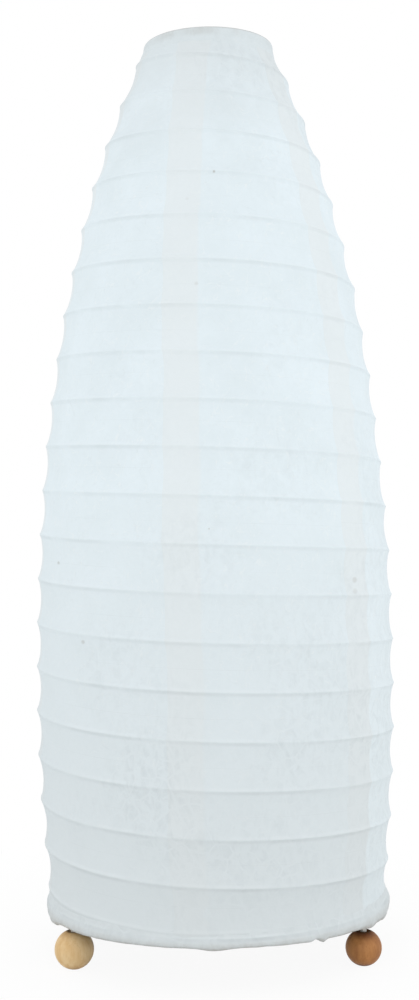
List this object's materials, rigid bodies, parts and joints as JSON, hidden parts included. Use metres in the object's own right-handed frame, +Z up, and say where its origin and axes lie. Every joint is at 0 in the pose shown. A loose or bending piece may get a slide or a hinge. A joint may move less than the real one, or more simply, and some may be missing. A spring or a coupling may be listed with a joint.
{
  "type": "paper lamp",
  "caption": "Tapered white paper lantern lamp: spiral wire rib, paper gores and hems on an upright wire frame with wooden ball feet, screw lamp holder and bulb; the shade lifts off and folds.",
  "frame": {"origin": "centre of the lamp on the floor, at the flat undersides of the ball feet", "axes": "+Z up the lamp's axis, -Y towards the front as pictured, +X to the right of the picture"},
  "size_m": [0.2377, 0.2378, 0.6],
  "materials": {
    "paper": "matt fibrous handmade paper",
    "hem_paper": "matt glued paper strip",
    "rib_wire": "plain drawn wire",
    "ring_wire": "plain drawn wire",
    "frame_wire": "white powder coat",
    "frame_sheet": "white powder coat",
    "wood_pale": "clear satin",
    "wood_brown": "clear satin",
    "zinc_steel": "zinc plated",
    "bush_plastic": "satin",
    "holder_plastic": "moulded, satin",
    "block_ceramic": "unglazed",
    "brass": "bright",
    "cap_metal": "rolled, bright",
    "solder": "dull",
    "insulator_glass": "black vitreous",
    "bulb_glass": "clear",
    "stem_glass": "clear",
    "filament": "phosphor coat",
    "lead_wire": "bright wire"
  },
  "bodies": {
    "stand": {"foot_ball_back": "wood_pale", "foot_ball_left": "wood_pale", "foot_ball_right": "wood_brown", "leg_back": "frame_wire", "leg_left": "frame_wire", "leg_right": "frame_wire", "hub_disc": "frame_sheet", "socket_back": "frame_wire", "socket_left": "frame_wire", "socket_right": "frame_wire", "upright_back": "frame_wire", "upright_left": "frame_wire", "upright_right": "frame_wire", "frame_ring": "frame_wire", "nipple": "zinc_steel", "toothed_washer": "zinc_steel", "lower_nut": "zinc_steel", "cable_bush": "bush_plastic", "holder_base": "holder_plastic", "holder_sleeve": "holder_plastic", "upper_nut": "zinc_steel", "contact_block": "block_ceramic", "screw_shell": "brass", "centre_contact": "brass", "side_contact": "brass", "terminal_screws": "brass"},
    "shade_top": {"top_ring": "ring_wire", "top_hem": "hem_paper", "spiral_rib": "rib_wire", "paper_gore_1": "paper", "paper_gore_2": "paper", "paper_gore_3": "paper", "paper_gore_4": "paper", "paper_gore_5": "paper"},
    "shade_bottom": {"bottom_ring": "ring_wire", "bottom_hem": "hem_paper"},
    "bulb_contact": {"bulb_tip": "solder"},
    "bulb": {"bulb_insulator": "insulator_glass", "bulb_cap": "cap_metal", "bulb_glass": "bulb_glass", "bulb_stem": "stem_glass", "bulb_filaments": "filament", "filament_wires": "lead_wire"}
  },
  "joints": [
    {"name": "shade_lift", "type": "slide", "parent": "stand", "child": "shade_top", "axis": [0, 0, 1], "range_m": [0, 0.58]},
    {"name": "shade_fold", "type": "slide", "parent": "shade_top", "child": "shade_bottom", "axis": [0, 0, 1], "range_m": [0, 0.51], "deforming": ["spiral_rib", "paper_gore_1", "paper_gore_2", "paper_gore_3", "paper_gore_4", "paper_gore_5"]},
    {"name": "bulb_rise", "type": "slide", "parent": "stand", "child": "bulb_contact", "axis": [0, 0, 1], "range_m": [0, 0.0218]},
    {"name": "bulb_turn", "type": "hinge", "parent": "bulb_contact", "child": "bulb", "pos_m": [0, 0, 0.1], "axis": [0, 0, 1], "range_deg": [0, 2160]}
  ],
  "couplings": [
    {"joint": "bulb_rise", "follows": "bulb_turn", "m_per_rad": 0.00057757}
  ]
}
